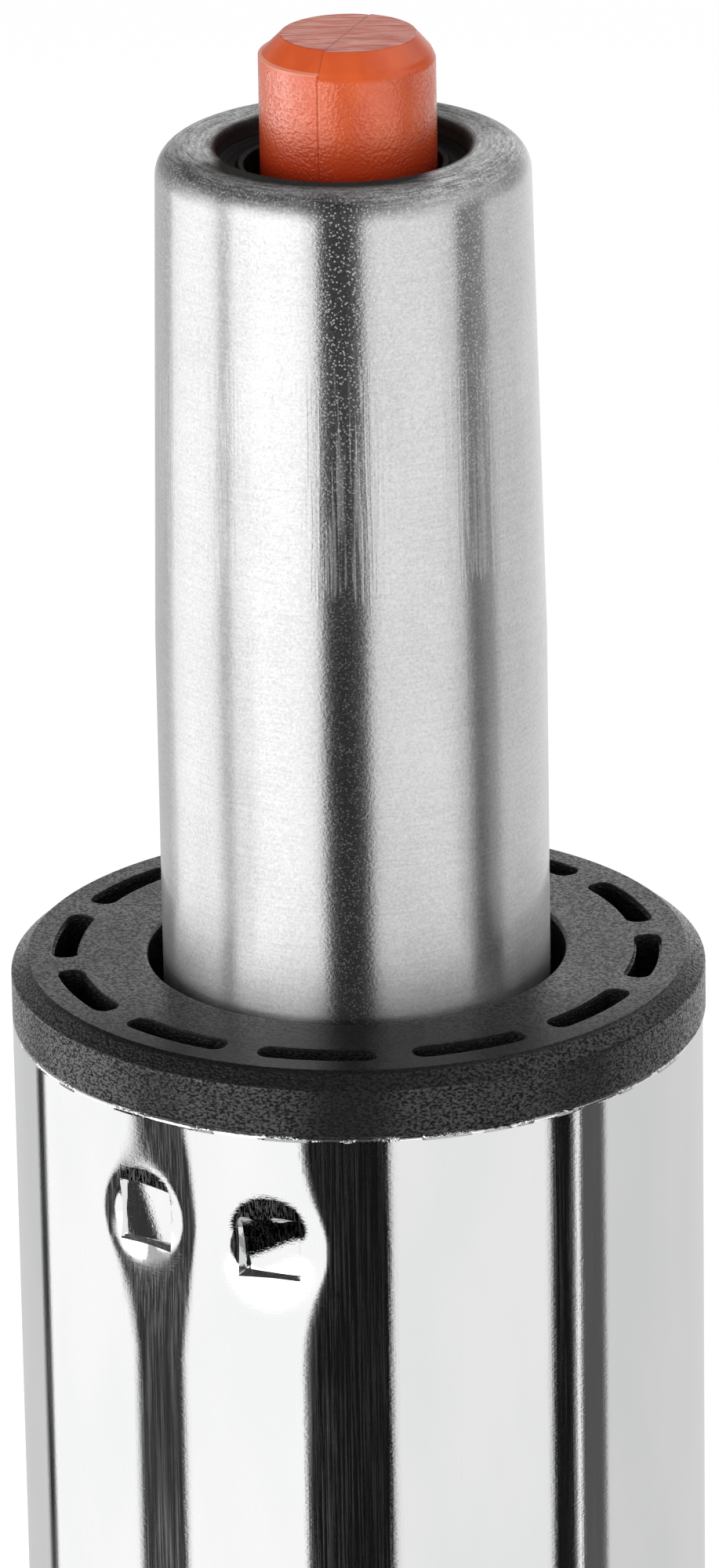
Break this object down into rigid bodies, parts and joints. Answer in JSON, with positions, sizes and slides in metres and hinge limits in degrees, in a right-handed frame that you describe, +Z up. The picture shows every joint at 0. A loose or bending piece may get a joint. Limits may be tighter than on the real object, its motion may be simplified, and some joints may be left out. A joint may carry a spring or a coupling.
{
  "type": "chair gas lift cylinder",
  "caption": "Telescopic gas lift for a swivel chair: tapered chrome column, slotted black guide bush, satin steel gas spring with a seat taper and an orange release button.",
  "frame": {"origin": "centre of the foot rim that the column stands on", "axes": "+Z up along the axis towards the release button, -Y towards the front that the picture shows"},
  "size_m": [0.0504, 0.0504, 0.2733],
  "materials": {
    "chrome": "mirror-bright plating on the column",
    "satin_steel": "satin, finely brushed round the axis",
    "black_nylon": "moulded black with a fine leather grain",
    "orange_plastic": "moulded orange-red with a soft gloss",
    "zinc_steel": "zinc plated",
    "bearing_steel": "ground and polished",
    "rod_steel": "hard chromed and ground",
    "spring_steel": "dark phosphated spring steel",
    "rubber": "matt black rubber",
    "pale_nylon": "natural moulded nylon",
    "brass": "turned brass",
    "aluminium": "turned aluminium"
  },
  "bodies": {
    "column": {"outer_tube": "chrome", "base_plate": "zinc_steel", "guide_bush": "black_nylon", "lower_race": "bearing_steel"},
    "bearing_cage": {"ball_cage": "pale_nylon", "bearing_balls": "bearing_steel"},
    "rod": {"piston_rod": "rod_steel", "upper_race": "bearing_steel", "bumper_washer": "zinc_steel", "bumper": "rubber", "base_washer": "zinc_steel", "retaining_clip": "spring_steel", "piston": "aluminium", "piston_seal": "rubber", "piston_ring": "pale_nylon", "piston_washer": "zinc_steel"},
    "tube": {"pressure_tube": "satin_steel", "end_washer": "zinc_steel", "rod_guide": "pale_nylon", "rod_seal": "rubber", "centring_ring": "aluminium", "inner_tube": "rod_steel", "valve_body": "brass", "tube_seal": "rubber", "neck_seal": "rubber", "pin_seals": "rubber", "valve_cover": "black_nylon"},
    "button": {"release_button": "orange_plastic", "valve_pin": "rod_steel"}
  },
  "joints": [
    {"name": "swivel", "type": "hinge", "parent": "column", "child": "rod", "pos_m": [0, 0, 0.01625], "axis": [0, 0, 1], "continuous": true},
    {"name": "cage_roll", "type": "hinge", "parent": "column", "child": "bearing_cage", "pos_m": [0, 0, 0.01625], "axis": [0, 0, 1], "continuous": true},
    {"name": "lift", "type": "slide", "parent": "rod", "child": "tube", "axis": [0, 0, 1], "range_m": [0, 0.1]},
    {"name": "button_press", "type": "slide", "parent": "tube", "child": "button", "axis": [0, 0, -1], "range_m": [0, 0.004], "stiffness_N_per_m": 300, "springref_m": -0.003}
  ],
  "couplings": [
    {"joint": "cage_roll", "follows": "swivel", "ratio": 0.5}
  ]
}
